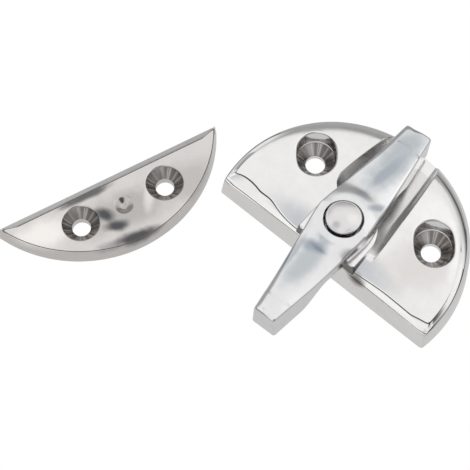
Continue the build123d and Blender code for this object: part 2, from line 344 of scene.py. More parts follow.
def countersunk(name, centres, dark, light):
    # turned cone with painted highlights: each of two holes' light streaks fan out from its middle over the dark
    # colour, as light does on fine rings left by the cutter;
    # the streaks are a noise over the way from the nearer middle
    material = steel(name, dark, 0.2, 0.3, bump=0.0)
    make = nodeMaker(material.node_tree)
    place = make("ShaderNodeTexCoord").outputs["Object"]
    ways, lengths = [], []
    for x, y in centres:
        off = make("ShaderNodeVectorMath", {0: place, 1: (x * mm, y * mm, 0)}, operation="SUBTRACT").outputs[0]
        ways.append(make("ShaderNodeVectorMath", {0: off, 1: (1, 1, 0)}, operation="MULTIPLY").outputs[0])
        lengths.append(make("ShaderNodeVectorMath", {0: ways[-1]}, operation="LENGTH").outputs["Value"])
    closer = make("ShaderNodeMath", {0: lengths[1], 1: lengths[0]}, operation="LESS_THAN").outputs[0]
    way = make("ShaderNodeMix", {"Factor": closer, "A": ways[0], "B": ways[1]}, data_type="VECTOR").outputs["Result"]
    ray = make("ShaderNodeVectorMath", {0: way}, operation="NORMALIZE").outputs[0]
    fan = noise(make, ray, 3.2, 4.0, 0.7)
    streak = mapped(make, fan, 0.46, 0.66)
    setShader(material, {"Base Color": mixColour(make, streak, dark + (1,), light + (1,))})
    return material


def plastic(name, colour):
    # moulded acetal: a fine noise makes its sheen slightly uneven
    material, make = newMaterial(name)
    place = make("ShaderNodeTexCoord").outputs["Object"]
    grain = noise(make, place, 900.0, 3.0, 0.5)
    rough = mapped(make, grain, 0.0, 1.0, 0.35, 0.6)
    dent = make("ShaderNodeBump", {"Strength": 0.1, "Distance": 0.00005, "Height": grain}).outputs[0]
    setShader(material, {"Base Color": colour + (1,), "Roughness": rough, "Normal": dent})
    return material


# tones of the painted shade patches, and the painted shade in the notch under the hub, which the top and the front
# wall share
cornerShade = (0.22, 0.215, 0.21)
notchShade = (10.4, -20.4, 4.6, 3.0, 3, (0.10, 0.095, 0.085), 1.0)
# painted shade on the casting: a broad grey patch at the right, a darker one along the front strip beside the button,
# the notch under the hub and both front corners
castSteel = steel("polishedCasting", (0.90, 0.89, 0.885), 0.05, 0.12, bump=0.03, level=8.5, paintedLightPatches=[
    (20.0, -7.5, 15.0, 11.0, 40, (0.74, 0.715, 0.70), 0.9), (8.5, -20.3, 7.0, 1.2, 4, (0.62, 0.61, 0.58), 0.8),
    notchShade, (31.3, -19.3, 1.0, 2.2, 20, cornerShade, 0.8), (-32.3, -18.2, 0.8, 2.0, -15, cornerShade, 0.8)])
# painted reflections on the button: pale and deeper blue reflections on both arms and beside the hub, and a white
# painted highlight streak along the far arm
blueReflection, paleBlueReflection = (0.38, 0.42, 0.47), (0.51, 0.54, 0.565)
buttonSteel = steel("polishedButton", (0.84, 0.84, 0.845), 0.10, 0.19, bump=0.04, level=15.0, paintedLightPatches=[
    (-0.8, 8.5, 20.0, 7.0, 93, paleBlueReflection, 1.0), (-0.2, -27.0, 13.0, 4.8, 91, paleBlueReflection, 0.9),
    (-0.4, 4.5, 9.0, 2.2, 84, blueReflection, 0.75), (4.2, -4.6, 4.4, 1.9, 50, blueReflection, 0.8),
    (-0.9, -22.3, 5.2, 2.6, 25, blueReflection, 0.95), (-4.0, -26.5, 7.5, 1.4, 97, blueReflection, 0.7),
    (4.3, 6.0, 20.0, 1.0, 98, (0.97, 0.97, 0.97), 0.9)])
# painted reflection and shade on the keeper's top: broad grey painted shade, lighter painted reflections, and deep
# painted shade in narrow streaks
keeperShade, keeperDeepShade = (0.50, 0.475, 0.455), (0.10, 0.10, 0.105)
keeperSteel = steel("polishedKeeper", (0.73, 0.70, 0.68), 0.09, 0.17, wave=60.0, bump=0.12, level=5.2, paintedLightPatches=[
    (-45.5, -42.0, 19.0, 9.5, 66, keeperShade, 0.95), (-56.5, -60.5, 14.0, 7.0, 60, (0.93, 0.90, 0.87), 1.0),
    (-38.5, -25.0, 13.0, 9.0, 65, (0.54, 0.52, 0.50), 0.9), (-43.6, -35.0, 2.2, 6.5, 40, (0.86, 0.84, 0.82), 0.7),
    (-48.3, -46.1, 4.4, 3.2, 20, keeperDeepShade, 1.0), (-44.0, -46.4, 5.4, 2.6, 50, keeperDeepShade, 1.0),
    (-55.5, -46.0, 12.5, 1.9, 69, keeperDeepShade, 0.9), (-38.7, -45.6, 14.0, 2.9, 62, keeperDeepShade, 1.0)])
# painted shade lines: dark steel laid on narrow rows at creases and rims, for the shade and dark reflection there
paintedShadeLine = steel("paintedShadeLine", (0.16, 0.155, 0.15), 0.3, 0.5, bump=0.0)
# dark rough steel for the pad's front face: painted shade and dark reflection from under the button's overhang
padFrontShade = steel("padFrontShade", (0.24, 0.23, 0.215), 0.3, 0.5, bump=0.3, depth=0.0004)
# the front wall carries the same painted shade in the notch, and painted shade at its left corner
wallSteel = steel("frontWallSteel", (0.94, 0.93, 0.91), 0.16, 0.30, wave=900.0, bump=0.3, depth=0.0003, level=8.5,
                  paintedLightPatches=[notchShade, (-33.0, -20.6, 1.2, 4.0, 0, cornerShade, 0.7)])
bevelSteel = steel("bevelSteel", (0.94, 0.93, 0.92), 0.34, 0.42, bump=0.05)
channelSteel = steel("channelSteel", (0.86, 0.85, 0.84), 0.26, 0.36, bump=0.05)
pinSteel = steel("polishedPinHead", (0.80, 0.785, 0.78), 0.12, 0.24, wave=300.0, bump=0.12)
plainSteel = steel("plainSteel", (0.6, 0.6, 0.59), 0.2, 0.36)
springSteel = steel("springWire", (0.5, 0.5, 0.5), 0.2, 0.34)
blackPlastic = plastic("blackAcetal", (0.025, 0.025, 0.025))
print("materials made")


base = {
    "radius": 33.0, "centre": -14.3, "chord": -6.6,         # the D shape, about the disc's centre
    "apex": 10.5, "along": 67.0, "across": 300.0,           # crowned top
    "corner": 0.9, "wallIn": 0.3, "shoulder": 4.7, "fall": 2.1, "roll": 0.9, "step": 0.16,
    "arcIn": 2.9, "topCorner": 2.4,                         # where the round side's section ends, and corners there
    # the sloping strip along the front: how wide, how much wider at the left and right corner, and in front of the pad
    "strip": 0.75, "stripLeft": 2.0, "stripRight": 0.9, "stripAtPad": 0.35, "padHalf": 8.4, "lineFrom": 8.6,
    "holeX": 18.65, "holeR": 2.5, "rimR": 4.95, "rimRound": 0.5, "rimZ": 3.9, "landZ": 1.45,
    "mouthWay": (-lookWay[0], -lookWay[1]), "mouthOut": 2.1,  # the recesses' near walls lean out towards the camera
    "channelZ": 4.4, "channelStart": -3.6, "halfIn": 8.05, "halfOut": 5.9, "bend": 3.2, "lean": 20.0,
    "kneeY": -1.3, "hubFloorZ": 9.2,                        # where the channel turns beside the hub, and climbs to
    "padR": 8.7, "padZ": 10.45, "padLow": 5.0, "padFront": -19.15, "padDraft": 8.0, "padEdge": 0.35,
    "socketR": 6.43, "socketGap": 0.07, "socketZ": 3.6, "webR": 2.53, "rivetR": 5.4, "rivetZ": 1.6,
    # the pockets' middle, their wall to the round side, room round a screw and round the pivot, and front and back
    "pocketAt": (20.0, -10.6), "pocketWall": 3.6, "screwRoom": 7.5, "pivotRoom": 8.6, "pocketFront": -17.3,
    "pocketBack": -3.2, "pocketZ": 4.6,
    "box": ((-33, -22), (33, 20)), "padBox": ((-9, -19), (9, -3)),          # round the top's points and the pad's
}


def endShare(x, y):
    # 1 at the ends of the round side, where its edge is crisp, falling to 0 further round
    below = 0.18            # how far under the disc's middle the ends lie, in radians
    angle = np.arctan2(y - base["centre"], np.abs(x))
    return 1 - ease((angle + below) / (math.pi + 2 * below), 0.0, 0.26)


def barrelHeight(x, y):
    # an arc along Y whose crest falls away slowly along X
    b = base
    return b["apex"] - x**2 / (2 * b["across"]) - (b["along"] - np.sqrt(b["along"] ** 2 - y**2))


def crownHeight(x, y):
    # the barrel, falling away towards the round side by a power of the distance into the shoulder
    b = base
    past = np.clip(np.hypot(x, y - b["centre"]) - (b["radius"] - b["wallIn"] - b["shoulder"]), 0, b["shoulder"])
    return barrelHeight(x, y) - b["fall"] * (past / b["shoulder"]) ** 2.2 * (1 - endShare(x, y))


def channelHalf(y):
    # half width of the channel's floor; on the right it runs on beside the hub
    b = base
    length = b["centre"] + b["radius"] - b["channelStart"]
    return np.where(y > b["kneeY"], b["halfIn"] + (b["halfOut"] - b["halfIn"]) * (y - b["channelStart"]) / length,
                    b["halfIn"] - 0.27 + 0.11 * (b["kneeY"] - y))


def channelSide(x, y):
    # distance outside the channel's floor: closed by rounded corners on the left, open on the right
    b = base
    across = np.abs(x) - channelHalf(y)
    shut = 1 - ease(x, -1.0, 1.5)
    along = (b["channelStart"] - y) * shut - 30 * (1 - shut)
    across, along = across + b["bend"], along + b["bend"]
    outside = np.hypot(np.maximum(across, 0), np.maximum(along, 0))
    rounded = outside + np.minimum(np.maximum(across, along), 0) - b["bend"]
    return np.where(x > 1.5, across - b["bend"], rounded)


def cutHeight(x, y, top):
    # a top with the channel worked into it, whose walls lean and whose floor climbs beside the hub
    b = base
    steep = math.tan(math.radians(b["lean"]))
    floor = b["channelZ"] + (b["hubFloorZ"] - b["channelZ"]) * ease(-y, 1.0, 15.0)
    wall = b["channelZ"] + np.maximum(channelSide(x, y), -1.0) / steep
    cut = softMax(wall, floor, 1.3)
    return np.where(cut > top + 0.5, top, softMin(top, cut, 0.5))


def baseTop(x, y):
    # the crowned top with the channel in it
    return cutHeight(x, y, crownHeight(x, y))


def mouth(centre, radius, share):
    # a ring whose near half is pushed out along mouthWay, by a share of mouthOut
    b = base
    loop = ring(centre, radius, 144)
    way = np.array(b["mouthWay"])
    side = (loop - centre) @ way / radius
    return loop + (share * b["mouthOut"] * ease(side, -0.45, 0.45))[:, None] * way


def makeBase():
    # a band of sections round the D shape, a sheet over the top inside it, the pad, the screw holes, the socket and
    # the cored underside
    b = base
    screws = [(-b["holeX"], 0.0), (b["holeX"], 0.0)]
    kind, frac = stations(b, ((0, 8.0, 0.5), (8.0, 9.8, 0.1), (9.8, None, 0.4)), (4.6, 11.5, 0.07), 0.014)
    one = np.ones(len(kind))

    def at(inset, corner):
        # the outline moved inwards, where it lies on the base
        x, y = dShape(kind, frac, inset * one, corner * one, b["radius"], b["chord"])
        return x, y + b["centre"]

    def cornerAt(inset):
        # corners grow rounder as the outline moves inwards
        return b["corner"] + 0.6 * inset + 0.25 * inset**2

    # how much of the front's or of the round side's section a column has
    front = byKind(kind, [one, 1 - ease(frac, 0.15, 0.9), 0 * one, ease(frac, 0.1, 0.85), one])
    x0, y0 = at(0.0, b["corner"])
    crisp = np.where(kind == 2, endShare(x0, y0), 1.0)
    spread = np.clip(np.abs(x0) / 30, 0, 1) ** 2
    # the sloping strip between the front face and the crowned top is wider towards the corners
    strip = b["strip"] + b["stripLeft"] * ease(-x0, 10, 30) + b["stripRight"] * ease(x0, 4, 24)
    atPad = np.abs(x0) < b["padHalf"]
    strip = np.where(atPad, b["stripAtPad"], strip)

    def mix(frontValue, endValue, arcValue):
        # a column's own share of the values for the front, the ends of the round side and the rest of it
        side = endValue * crisp + arcValue * (1 - crisp)
        return front * frontValue + (1 - front) * side

    # knots of the section, as inset and height: wall, edge, and the strip up to a little step below the top
    part = mix(1.0, 1.0, 0.0)
    d3 = mix(1.1 + strip, 1.9, b["arcIn"])
    d4 = d3 + mix(np.where(atPad, 0.3, 0.7), 0.7, 0.7)
    step = b["step"] * part
    z3 = crownHeight(*at(d3, b["topCorner"])) - step
    d1, z1 = mix(0.94, 0.46, 0), mix(5.6 - 0.5 * spread, 5.0, 0)
    d2, z2 = mix(1.1, 0.62, 0), z3 - mix(0.5 * strip, 0.75, 0)
    knots = [np.stack(k) for k in ((0 * one, 0 * one), (d1, z1), (d2, z2), (d3, z3))]
    rounds = ((0.2 * one, 0.2 * one), (mix(0.2, 0.4, 0.4), mix(0.35, 0.4, 0.4)))
    edged = roundedProfile(knots, rounds, (7, 13))
    # the round side's own section: a wall with a little draft, a small roll, then the shoulder as far as d3
    restRows = 10
    t = np.linspace(0, 1, len(edged) - restRows - 1)[:, None] * one
    rim3 = b["wallIn"] + b["roll"]
    edgeZ, rollZ = crownHeight(*at(b["wallIn"], 1.1)), crownHeight(*at(rim3, 1.6))
    rollD = (1 - t**2) * b["wallIn"] + t**2 * rim3
    rollH = (1 - t) ** 2 * (edgeZ - b["roll"]) + 2 * t * (1 - t) * edgeZ + t**2 * rollZ
    rest = np.linspace(rim3, b["arcIn"], restRows + 1)[1:, None] * one
    restZ = np.array([crownHeight(*at(d, b["topCorner"])) for d in rest])
    rolledD = np.concatenate([0 * one[None], rollD, rest])
    rolledZ = np.concatenate([0 * one[None], rollH, restZ])
    ds = part * edged[:, 0] + (1 - part) * rolledD
    zs = part * edged[:, 1] + (1 - part) * rolledZ
    grid = [lifted(*at(s * ds[1], b["corner"] + 0.6 * s * ds[1]), s * zs[1]) for s in np.linspace(0, 1, 9)[:-1]]
    for d, z in zip(ds[1:], zs[1:]):
        x, y = at(d, cornerAt(d))
        share = ease(d, 0.3 * d3, d3)
        grid.append(lifted(x, y, z * (1 - share) + share * np.where(part > 0.999, z, crownHeight(x, y) - step)))
    for more, drop in ((0.18, 0.02), (0.28, 0), (0.5, 0), (0.7, 0)):
        x, y = at(d3 + more * (d4 - d3) / 0.7, cornerAt(d3))
        grid.append(lifted(x, y, crownHeight(x, y) - drop * part))
    grid = np.array(grid)
    grid[1:, :, 2] = cutHeight(grid[1:, :, 0], grid[1:, :, 1], grid[1:, :, 2])
    grid[-1][:, 2] = baseTop(grid[-1][:, 0], grid[-1][:, 1])
    points, faces = band(grid)
    # painted shade in two dark lines, for the shade and dark reflection in the little step between strip and top, and
    # in the edge between strip and wall
    wallRows, edgeRows, stepRow = 20, (21, 22), len(grid) - 5
    row, column = np.divmod(np.arange(len(faces)), len(kind))
    dark = np.isin(row, (*edgeRows, stepRow)) & (part[column] > 0.35) & (np.abs(x0[column]) > b["lineFrom"])
    wall = (row < wallRows) & (front[column] > 0.5) & ~dark
    parts = [(points, faces[~dark & ~wall]), (points, faces[dark], 2), (points, faces[wall], 5)]
    rim = grid[-1][:, :2]

    # points of the top: an even lattice, and rows that follow the channel
    lattice = latticePoints(b["box"], 1.0)
    inner = [lattice[np.abs(channelSide(lattice[:, 0], lattice[:, 1]) - 1.0) > 2.2]]
    gaps = [-1.6, -1.2, -0.9, -0.6, -0.42, -0.28, -0.16, -0.06, 0.04, 0.14, 0.24, 0.36, 0.5, 0.75, 1.0, 1.25]
    inner += [channelPath(gap) for gap in gaps + [1.25 + 0.09 * k for k in range(1, 16)] + [2.9, 3.3]]
    points = np.concatenate(inner)
    holes = [mouth(c, b["rimR"] + b["rimRound"], 1.0) for c in screws]
    wide = b["socketR"] + b["socketGap"]
    socket = ring(pivot, wide, 120)
    points = points[insideLoop(points, np.stack(at(d4 + 0.35, cornerAt(d3) + 0.1), -1))]
    way = np.array(b["mouthWay"])
    for c in screws:
        off = points - c
        off = off - np.clip(off @ way, 0, b["mouthOut"])[:, None] * way
        points = points[np.hypot(off[:, 0], off[:, 1]) > b["rimR"] + 0.75]
    points, faces = sheet(rim, holes + [socket], farFrom(points, pivot, b["socketR"] + 0.3), baseTop)
    # the buffing wheel doesn't reach down into the channel
    middle = points[faces].mean(1)
    sunk = (crownHeight(middle[:, 0], middle[:, 1]) - middle[:, 2] > 0.3) & (middle[:, 1] > -14)
    parts += [(points, faces[~sunk]), (points, faces[sunk], 4)]
    parts += makePad()

    # screw holes: rounded rim, straight recess, cone, hole
    soft, foot = b["rimRound"], b["rimZ"] + 0.12
    for c in screws:
        recess = []
        for t in np.linspace(0, math.pi / 2, 7):
            x, y = mouth(c, b["rimR"] + soft * (1 - math.sin(t)), 1.0).T
            recess.append(lifted(x, y, crownHeight(x, y) - soft * (1 - math.cos(t))))
        for share in (0.8, 0.6, 0.4, 0.2, 0.0):
            x, y = mouth(c, b["rimR"], share).T
            recess.append(lifted(x, y, foot + share * (crownHeight(x, y) - soft - foot)))
        parts.append(band(np.array(recess), flip=True))
        parts.append(lathe(c, [b["rimR"], b["rimR"] - 0.12, 3.7, b["holeR"] + 0.08, b["holeR"]],
                           [foot, b["rimZ"], b["rimZ"] - 1.2, b["landZ"] + 0.08, b["landZ"]], 144, flip=True) + (1,))
        parts.append(lathe(c, [b["holeR"], b["holeR"]], [b["landZ"], 0], 144, flip=True))
    # socket for the bush, the web's hole and the recess for the rivet
    parts.append(lathe(pivot, [wide, wide, b["webR"], b["webR"], b["rivetR"], b["rivetR"]],
                       [baseTop, b["socketZ"], b["socketZ"], b["rivetZ"], b["rivetZ"], 0], 120, flip=True))
    # underside: flat rim, and two cored pockets
    pockets = [pocketLoop(s) for s in (1, -1)]
    openings = [ring(c, b["holeR"], 144) for c in screws] + [ring(pivot, b["rivetR"], 120)]
    spots = latticePoints(b["box"], 3.0)
    parts.append(sheet(grid[0][:, :2], openings + pockets, spots, 0.0, flip=True))
    for loop in pockets:
        off = loop - loop.mean(0)
        roof = loop.mean(0) + off * 0.94
        wall = [(loop, 0.0), (loop.mean(0) + off * 0.98, b["pocketZ"] - 0.4), (roof, b["pocketZ"])]
        parts.append(band(np.array([lifted(*line.T, z) for line, z in wall]), flip=True))
        parts.append(sheet(roof, [], spots, b["pocketZ"], flip=True))
    cones = countersunk("turnedCones", screws, (0.20, 0.19, 0.18), (0.74, 0.71, 0.69))
    makePiece("basePlateCasting", parts, [castSteel, cones, paintedShadeLine, padFrontShade, channelSteel, wallSteel],
              "base", "base_plate", 50)


def makePad():
    # the raised pad that the button turns on: a ring whose outer wall is round behind and flush in front
    b = base

    def loop(grow):
        # the pad's outline, grown outwards: an arc, two straight sides, two small corners and the front line
        r, small = b["padR"] + grow, 0.5
        line = b["padFront"] - (0.85 if grow > 0 else 0.1) * grow
        a = np.linspace(0, math.pi, 91)
        sides = np.linspace(pivot[1], line + small, 26)[1:]
        turn = np.linspace(math.pi, 1.5 * math.pi, 9)[1:]
        cornerX, cornerY = r - small, line + small
        # the front line bulges by a hair, so that no three of its points lie on one line
        flat = np.linspace(-cornerX, cornerX, 52)[1:-1]
        bulge = 0.03 * (1 - (flat / cornerX) ** 2)
        x = np.concatenate([r * np.cos(a), 0 * sides - r, -cornerX + small * np.cos(turn), flat,
                            cornerX - small * np.cos(turn[::-1]), 0 * sides[:-1] + r])
        y = np.concatenate([pivot[1] + r * np.sin(a), sides, cornerY + small * np.sin(turn),
                            cornerY - small - bulge, cornerY + small * np.sin(turn[::-1]), sides[::-1][1:]])
        return x, y

    low, edge = b["padLow"], b["padEdge"]
    lean = math.tan(math.radians(b["padDraft"]))
    rows = [(*loop((b["padZ"] - edge - z) * lean), z) for z in np.linspace(low, b["padZ"] - edge, 5)]
    rows += [(*loop(-edge * (1 - math.cos(t))), b["padZ"] - edge * (1 - math.sin(t)))
             for t in np.linspace(0, math.pi / 2, 7)[1:]]
    grid = np.array([lifted(*row) for row in rows])
    hole = ring(pivot, b["socketR"], 120)
    inner = farFrom(latticePoints(b["padBox"], 1.0), pivot, 6.9)
    inner = inner[insideLoop(inner, np.stack(loop(-0.9), -1))]
    points, faces = band(grid)
    # the pad's front faces take the dark material of painted shade under the button's overhang
    front = points[faces][:, :, 1].max(1) < b["padFront"] + 0.55
    return [(points, faces[~front]), (points, faces[front], 3),
            sheet(grid[-1][:, :2], [hole], inner, b["padZ"]),
            sheet(grid[0][:, :2], [hole], np.zeros((0, 2)), low, flip=True),
            lathe(pivot, [b["socketR"], b["socketR"]], [b["padZ"], low], 120, flip=True)]


def channelPath(gap):
    # lines that lie gap outside the channel's floor: the left wall and its round end, and the long right wall
    b = base
    top = b["centre"] + b["radius"] - 3.0
    yc = b["channelStart"] + b["bend"]
    xc = float(channelHalf(np.array(yc))) - b["bend"]
    ys = np.arange(top, yc, -0.3)
    r = max(b["bend"] + gap, 0.3)
    a = np.linspace(0, -math.pi / 2, 16)
    flat = np.arange(xc - 0.3, -1.0, -0.3)
    left = np.concatenate([np.stack([-channelHalf(ys) - gap, ys], -1),
                           np.stack([-xc - r * np.cos(a), yc + r * np.sin(a)], -1),
                           np.stack([-flat, 0 * flat + yc - r], -1)])
    ys = np.arange(top, -19.0, -0.3)
    return np.concatenate([left, np.stack([channelHalf(ys) + gap, ys], -1)])


def pocketLoop(side):
    # a pocket's rim as seen from its middle: the nearest of the walls that a ray meets
    b = base
    middle = np.array(b["pocketAt"])
    a = np.arange(160) * 2 * math.pi / 160
    ray = np.stack([np.cos(a), np.sin(a)], -1)

    def leave(centre, radius, entering):
        # how far along each ray a circle is entered from outside, or left from inside
        off = middle - centre
        half = ray @ off
        disc = half**2 - (off @ off - radius**2)
        root = np.sqrt(np.maximum(disc, 0))
        if entering:
            dist = -half - root
            return np.where((disc > 0) & (dist > 0), dist, 99.0)
        return -half + root

    reach = leave(np.array([0, b["centre"]]), b["radius"] - b["pocketWall"], False)
    reach = np.minimum(reach, leave(np.array([b["holeX"], 0.0]), b["screwRoom"], True))
    reach = np.minimum(reach, leave(np.array(pivot), b["pivotRoom"], True))
    for sign, limit in ((-1, -b["pocketFront"]), (1, b["pocketBack"])):
        toward = sign * ray[:, 1]
        room = limit - sign * middle[1]
        reach = np.minimum(reach, np.where(toward > 1e-6, room / np.maximum(toward, 1e-6), 99.0))
    smooth = np.minimum.reduce([np.roll(reach, k) for k in (-1, 0, 1)])
    loop = middle + ray * smooth[:, None]
    return loop if side > 0 else (loop * (-1, 1))[::-1]


makeBase()


button = {
    "half": 31.3, "yaw": 2.3,
    "corner": 0.7, "wide": 7.52, "blunt": 0.32, "taper": 0.1409, "flare": 0.28,
    "farFrom": 6.0, "farReach": 25.0, "farWide": 0.6, "farFlare": 0.55,     # the far arm is a little wider
    "tipZ": 14.85, "armZ": 14.35, "dipU": 18.0, "crownZ": 16.15, "crownR": 6.75,
    "dishRise": 1.15, "dishReach": 12.5, "pillow": 0.22, "pillowU": 25.6,
    "footZ": 6.0, "footU": 22.3, "armUnder": 11.35, "hubUnder": 11.0,
    "edge": 0.45, "softEdge": 1.7, "boreR": 4.93, "boreZ": 5.2, "shankHoleR": 2.56, "barrelR": 5.8, "barrelZ": 4.0,
    "hubR": 6.95, "box": ((-12, -46), (12, 21)),
}


def farShare(u):
    # 0 as far as farFrom past the pivot, then growing evenly, to 1 after farReach more
    return np.clip((u - button["farFrom"]) / button["farReach"], 0, 1.2)


def armWidth(u):
    # half width: straight tapers that meet in a soft point beside the pivot
    b = button
    return b["wide"] - np.sqrt(b["blunt"] ** 2 + (b["taper"] * u) ** 2) + b["farWide"] * farShare(u)


def buttonTop(u, v):
    # dished arms, a slight fall to each side, and the crown round the pin's head
    b = button
    a = np.abs(u)
    inner = b["armZ"] + b["dishRise"] * np.clip((b["dipU"] - a) / b["dishReach"], 0, 2) ** 2.2
    outer = b["armZ"] + (b["tipZ"] - b["armZ"]) * ease(a, b["dipU"], b["half"] - 1.5)
    pillow = b["pillow"] * ease(a + 0.05 * v**2, b["pillowU"], b["pillowU"] + 1)
    arm = np.where(a < b["dipU"], inner, outer) - 0.012 * v**2 + pillow
    r = np.hypot(u, v)
    crown = b["crownZ"] - 0.006 * r**2 - 0.065 * np.maximum(r - b["crownR"] + 0.9, 0) ** 2
    return softMax(np.minimum(arm, b["crownZ"]), crown, 0.5)


def buttonUnder(u):
    # flat feet, an S-bend up to the arm, flat arm
    b = button
    return b["footZ"] + (b["armUnder"] - b["footZ"]) * (1 - ease(np.abs(u), 13.6, b["footU"]))


def makeButton():
    # a band of sections round the lozenge: bottom edge, side with a little draft, and a wide soft edge at the top;
    # a sheet on top, another underneath, and the turned bore, barrel and hub
    b = button
    yaw = math.radians(b["yaw"])
    sideN, bendN, tipN = 240, 9, 30                         # columns along a side, round a corner and across a tip
    half = sideN + bendN + tipN + bendN

    def place(u, v):
        # u runs along the button towards the far foot, v to its right
        x = pivot[0] + v * math.cos(yaw) - u * math.sin(yaw)
        y = pivot[1] + v * math.sin(yaw) + u * math.cos(yaw)
        return x, y

    def local(x, y):
        # the way back from place
        dx, dy = x - pivot[0], y - pivot[1]
        return -dx * math.sin(yaw) + dy * math.cos(yaw), dx * math.cos(yaw) + dy * math.sin(yaw)

    def topAt(drop):
        # the top's height, less drop, at a point of the base's frame
        return lambda x, y: buttonTop(*local(x, y)) - drop

    def underAt(x, y):
        # the underside's height there
        return buttonUnder(local(x, y)[0])

    def outline(inset, grow):
        # anticlockwise from above: up the right side, round the far end, down the left side, round the near end
        lean = math.atan(b["taper"])
        inset, grow = inset * np.ones(2 * half), grow * np.ones(2 * half)
        sides = []
        for way, gap, more in ((1, inset[:half], grow[:half]), (-1, inset[half:], grow[half:])):
            r = b["corner"] + 0.3 * gap
            uc = b["half"] - gap - r
            tip = uc + r * math.sin(lean)
            vc = armWidth(way * tip) - gap / math.cos(lean) - r * math.cos(lean) + more
            f = np.linspace(-1, 1, sideN + 1)[:-1]
            a = np.linspace(lean, math.pi / 2, bendN + 1)[:-1]
            flat = np.linspace(1, -1, tipN + 1)[:-1]
            one, two = slice(0, sideN), slice(sideN, sideN + bendN)
            three, four = slice(sideN + bendN, half - bendN), slice(half - bendN, half)
            us = tip[one] * np.sign(f) * np.abs(f) ** 1.25
            vs = armWidth(way * us) - gap[one] / math.cos(lean) + more[one]
            u = np.concatenate([us, uc[two] + r[two] * np.sin(a), (b["half"] - gap)[three],
                                uc[four] + r[four] * np.sin(math.pi / 2 - (a - lean))])
            v = np.concatenate([vs, vc[two] + r[two] * np.cos(a), vc[three] * flat,
                                -vc[four] - r[four] * np.cos(math.pi / 2 - (a - lean))])
            sides.append((way * u, way * v))
        return np.concatenate([sides[0][0], sides[1][0]]), np.concatenate([sides[0][1], sides[1][1]])

    def flare(u):
        # the near foot spreads a little towards its bottom, the far one draws in to clear its channel
        return b["flare"] - b["farFlare"] * farShare(u)

    rows = []
    e = b["edge"]
    plainU, plainV = outline(0.0, 0.0)
    for t in np.linspace(0, math.pi / 2, 7):
        inset = e * (1 - math.sin(t))
        u, v = outline(inset, flare(outline(inset, 0.0)[0]))
        rows.append((u, v, buttonUnder(u) + e * (1 - math.cos(t))))

    right = ease(plainV, -2.0, 2.0)

    def soft(u):
        # the top edge is softer at the tips than beside the hub, and crisp down the right side
        return e + (b["softEdge"] - e) * ease(np.abs(u), 9.0, 26.0) * (1 - 0.85 * right)

    for s in np.linspace(0, 1, 14)[1:-1]:
        u, v = outline(0.0, flare(plainU) * (1 - s))
        low, high = buttonUnder(u) + e, buttonTop(u, v) - soft(u)
        rows.append((u, v, low + (high - low) * s))
    for t in np.linspace(0, math.pi / 2, 10)[::-1]:
        u, v = outline(soft(plainU) * (1 - math.sin(t)), 0.0)
        rows.append((u, v, buttonTop(u, v) - soft(u) * (1 - math.cos(t))))
    grid = np.array([lifted(*place(u, v), z) for u, v, z in rows])
    parts = [band(grid)]
    # closer points where the crown meets the arms
    rings = [ring(pivot, r, 150) for r in (5.5, 5.9, 6.2, 6.45, 6.65, 6.85, 7.05, 7.3)]
    lattice = latticePoints(b["box"], 0.75)
    lattice = lattice[np.abs(np.hypot(lattice[:, 0], lattice[:, 1] - pivot[1]) - 6.4) > 1.1]
    inner = np.concatenate([lattice] + rings)
    shrink = place(*outline(b["softEdge"] + 0.25, 0.0))
    inner = inner[insideLoop(inner, np.stack(shrink, -1))]
    bore = ring(pivot, b["boreR"] + 0.2, 150)
    parts.append(sheet(grid[-1][:, :2], [bore], inner, topAt(0)))
    barrel = ring(pivot, b["barrelR"], 150)
    under = farFrom(latticePoints(b["box"], 0.9), pivot, b["barrelR"] + 0.4)
    shrink = place(*outline(e + 0.3, flare(plainU)))
    under = under[insideLoop(under, np.stack(shrink, -1))]
    parts.append(sheet(grid[0][:, :2], [barrel], under, underAt, flip=True))
    # bore round the head, with a broken edge
    r, shank = b["boreR"], b["shankHoleR"]
    parts.append(lathe(pivot, [r + 0.2, r + 0.06, r, r, r, shank, shank],
                       [topAt(0), topAt(0.06), topAt(0.2), 10, b["boreZ"], b["boreZ"], b["barrelZ"]], 150, flip=True))
    # barrel, from under the arms down to its floor
    parts.append(lathe(pivot, [shank, b["barrelR"] - 0.3, b["barrelR"], b["barrelR"], b["barrelR"]],
                       [b["barrelZ"], b["barrelZ"], b["barrelZ"] + 0.3, 9.0, underAt], 150))
    # round foot of the hub, down to the washer
    r, high = b["hubR"], b["hubUnder"] + 0.7
    parts.append(lathe(pivot, [r - 0.45, r - 0.45, r - 0.1, r, r, r - 0.45],
                       [high, b["hubUnder"], b["hubUnder"], b["hubUnder"] + 0.1, high, high], 150))
    makePiece("turnButtonCasting", parts, [buttonSteel], "button", "turn_button")


makeButton()


pin = {"headR": 4.45, "edge": 0.35, "rimZ": 17.0, "under": 15.4, "dome": 0.76, "shankR": 2.5}


def makePin():
    # turned profile: set end, shank, head with a rounded edge, and a dome that rises as 1 less the square of the
    # distance out
    p = pin
    radii = [0.0, 3.1, 3.4, 3.4, p["shankR"], p["shankR"], p["headR"] - 0.1, p["headR"]]
    heights = [0.27, 0.27, 0.45, 0.8, 0.8, p["under"], p["under"], p["under"] + 0.1]
    edge, out = np.linspace(0, math.pi / 2, 7), 1 - np.linspace(0, 1, 26)[1:]
    radii += [*(p["headR"] - p["edge"] * (1 - np.cos(edge))), *((p["headR"] - p["edge"]) * out)]
    heights += [*(p["rimZ"] - 0.23 + p["edge"] * np.sin(edge)), *(p["rimZ"] + 0.12 + p["dome"] * (1 - out**2))]
    makePiece("pivotPinTurned", [lathe(pivot, radii, heights, 128)], [pinSteel],
              "base", "pivot_pin")


makePin()


spring = {
    "pivot": pivot, "coilR": 4.13, "wireR": 0.45, "turns": 3.5,
    "lowZ": 6.27, "highZ": 14.93, "travel": 5.5, "steps": 168, "sides": 14,
}


